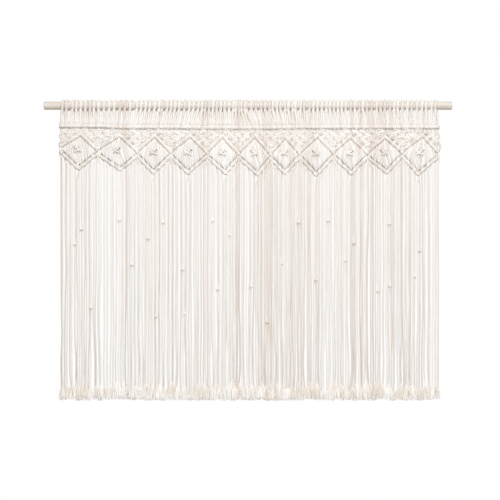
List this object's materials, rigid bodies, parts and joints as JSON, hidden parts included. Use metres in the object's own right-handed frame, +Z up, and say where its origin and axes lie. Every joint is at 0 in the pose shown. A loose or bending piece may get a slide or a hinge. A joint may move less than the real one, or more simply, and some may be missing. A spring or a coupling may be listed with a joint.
{
  "type": "macrame wall hanging on a wooden rod",
  "caption": "Wide knotted cotton macrame hanging on a plain wooden rod, with a band of diamonds and a long cord fringe.",
  "frame": {"origin": "on the rod's axis, halfway along the rod, where the two wall hooks under its ends hold it up", "axes": "+Z up, +X along the rod to the viewer's right, -Y towards the viewer, +Y towards the wall"},
  "size_m": [1.2, 0.0326, 0.8853],
  "materials": {
    "cotton_cord": "twisted undyed cotton cord, matt, with combed-out ends",
    "wood": "sanded, unvarnished pale softwood"
  },
  "bodies": {
    "root": {"rod": "wood", "macrame": "cotton_cord", "fringe": "cotton_cord"}
  },
  "joints": []
}
